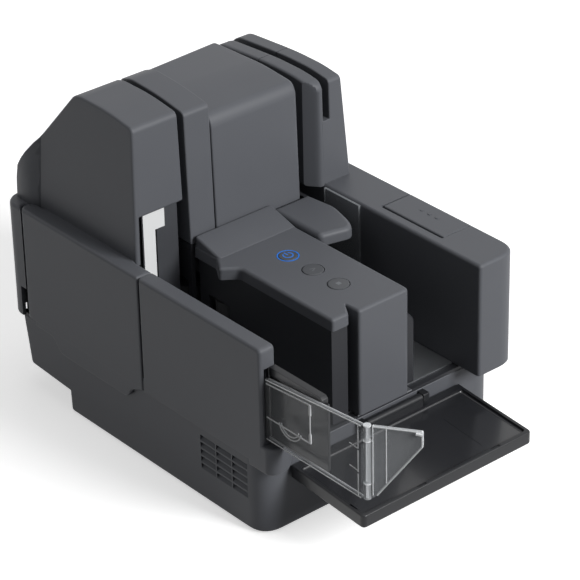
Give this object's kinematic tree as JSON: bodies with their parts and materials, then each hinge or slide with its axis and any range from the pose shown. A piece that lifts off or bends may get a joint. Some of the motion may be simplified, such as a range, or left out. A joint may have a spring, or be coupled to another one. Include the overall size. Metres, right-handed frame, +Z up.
{
  "type": "cheque scanner",
  "caption": "Desktop cheque scanner with feed and exit pockets, hinged track door, ink hatch, folding front tray, sliding clear guide with stop flap, push buttons and card slot.",
  "frame": {"origin": "bottom centre of the whole scanner's box, on the table", "axes": "+Z up, +Y to the back, +X to the right seen from the front"},
  "size_m": [0.184, 0.3448, 0.2128],
  "materials": {
    "housing": "fine moulded texture",
    "dark_trim": "plain moulded",
    "grey_guide": "fine moulded texture",
    "gloss_black": "polished",
    "tray_panel": "polished",
    "clear_plastic": "clear polycarbonate",
    "white_plastic": "fine moulded texture",
    "blue_ring": "light guide",
    "button_plastic": "smooth moulded",
    "steel": "brushed",
    "light_sheet": "satin coated sheet",
    "rubber": "ground rubber",
    "board": "solder mask"
  },
  "bodies": {
    "base": {"base_shell": "housing", "bottom_plate": "dark_trim", "rubber_feet": "rubber", "case_screws": "steel", "deck_plate": "dark_trim", "floor_strip": "light_sheet", "front_left_panel": "housing", "guide_rail": "gloss_black", "door_hinge_rod": "steel", "rear_cover": "housing", "right_side_cover": "housing", "right_tower_cover": "housing", "card_reader_head": "steel", "centre_cover": "housing", "centre_slice": "housing", "inner_track_wall": "dark_trim", "outer_track_wall": "dark_trim", "roller_frame": "steel", "inner_image_sensor": "dark_trim", "magnetic_ink_head": "steel", "console_cover": "housing", "feed_wall": "dark_trim", "console_side_block": "dark_trim", "ledge_cover": "housing", "power_ring": "blue_ring", "button_board": "board", "hatch_pin": "steel", "ink_cartridge": "dark_trim", "eject_guide": "clear_plastic", "tray_pin": "steel", "transport_motor": "steel", "transport_belt": "rubber", "feed_motor": "steel", "feed_belt": "rubber", "main_board": "board", "power_inlet": "gloss_black", "usb_socket": "steel"},
    "left_door": {"left_door_cover": "housing", "door_track_wall": "dark_trim", "outer_image_sensor": "dark_trim", "retard_cover": "grey_guide", "pusher_rod": "steel"},
    "pusher": {"pusher_plate": "white_plastic"},
    "left_pinch": {"left_pinch_roller": "rubber"},
    "retard": {"retard_roller": "rubber"},
    "left_drive": {"left_drive_roller": "rubber"},
    "rear_drive": {"rear_drive_roller": "rubber"},
    "right_drive": {"right_drive_roller": "rubber"},
    "right_pinch": {"right_pinch_roller": "rubber"},
    "feed": {"feed_roller": "rubber"},
    "pickup": {"pickup_roller": "rubber"},
    "tray": {"tray_body": "gloss_black", "tray_floor": "tray_panel"},
    "hatch": {"hatch_cover": "housing"},
    "guide": {"clear_guide": "clear_plastic", "flap_pin": "steel"},
    "flap": {"stop_flap": "clear_plastic"},
    "power_key": {"power_button": "button_plastic"},
    "feed_key": {"feed_button": "button_plastic"},
    "stop_key": {"stop_button": "button_plastic"}
  },
  "joints": [
    {"name": "door_swing", "type": "hinge", "parent": "base", "child": "left_door", "pos_m": [-0.0865, 0.15064, 0.0915], "axis": [0, 0, -1], "range_deg": [0, 50]},
    {"name": "pusher_slide", "type": "slide", "parent": "left_door", "child": "pusher", "axis": [1, 0, 0], "range_m": [0, 0.013]},
    {"name": "left_pinch_spin", "type": "hinge", "parent": "left_door", "child": "left_pinch", "pos_m": [-0.0487, 0.10594, 0.0865], "axis": [0, 0, 1], "continuous": true},
    {"name": "retard_spin", "type": "hinge", "parent": "left_door", "child": "retard", "pos_m": [-0.0512, 0.07174, 0.0775], "axis": [0, 0, 1], "continuous": true},
    {"name": "left_drive_spin", "type": "hinge", "parent": "base", "child": "left_drive", "pos_m": [-0.0318, 0.10594, 0.0865], "axis": [0, 0, 1], "continuous": true},
    {"name": "rear_drive_spin", "type": "hinge", "parent": "base", "child": "rear_drive", "pos_m": [0.0015, 0.14874, 0.0865], "axis": [0, 0, 1], "continuous": true},
    {"name": "right_drive_spin", "type": "hinge", "parent": "base", "child": "right_drive", "pos_m": [0.0348, 0.10244, 0.0865], "axis": [0, 0, 1], "continuous": true},
    {"name": "right_pinch_spin", "type": "hinge", "parent": "base", "child": "right_pinch", "pos_m": [0.0517, 0.10244, 0.0865], "axis": [0, 0, 1], "continuous": true},
    {"name": "feed_spin", "type": "hinge", "parent": "base", "child": "feed", "pos_m": [-0.0323, 0.07174, 0.0775], "axis": [0, 0, 1], "continuous": true},
    {"name": "pickup_spin", "type": "hinge", "parent": "base", "child": "pickup", "pos_m": [-0.028, 0.03744, 0.0775], "axis": [0, 0, 1], "continuous": true},
    {"name": "tray_fold", "type": "hinge", "parent": "base", "child": "tray", "pos_m": [0.007, -0.06576, 0.047], "axis": [-1, 0, 0], "range_deg": [0, 88]},
    {"name": "hatch_swing", "type": "hinge", "parent": "base", "child": "hatch", "pos_m": [0.0897, -0.01456, 0.0985], "axis": [0, 1, 0], "range_deg": [0, 75]},
    {"name": "guide_slide", "type": "slide", "parent": "base", "child": "guide", "axis": [0, 1, 0], "range_m": [0, 0.03]},
    {"name": "flap_swing", "type": "hinge", "parent": "guide", "child": "flap", "pos_m": [-0.0857, -0.14686, 0.0925], "axis": [0, 0, 1], "range_deg": [-35, 0]},
    {"name": "power_press", "type": "slide", "parent": "base", "child": "power_key", "axis": [0, 0, -1], "range_m": [0, 0.0008], "stiffness_N_per_m": 600, "springref_m": -0.001},
    {"name": "feed_press", "type": "slide", "parent": "base", "child": "feed_key", "axis": [0, 0, -1], "range_m": [0, 0.0008], "stiffness_N_per_m": 600, "springref_m": -0.001},
    {"name": "stop_press", "type": "slide", "parent": "base", "child": "stop_key", "axis": [0, 0, -1], "range_m": [0, 0.0008], "stiffness_N_per_m": 600, "springref_m": -0.001}
  ],
  "couplings": [
    {"joint": "rear_drive_spin", "follows": "left_drive_spin", "ratio": 1},
    {"joint": "right_drive_spin", "follows": "left_drive_spin", "ratio": 1},
    {"joint": "left_pinch_spin", "follows": "left_drive_spin", "ratio": -1.75},
    {"joint": "right_pinch_spin", "follows": "left_drive_spin", "ratio": -1.75},
    {"joint": "pickup_spin", "follows": "feed_spin", "ratio": 1}
  ]
}
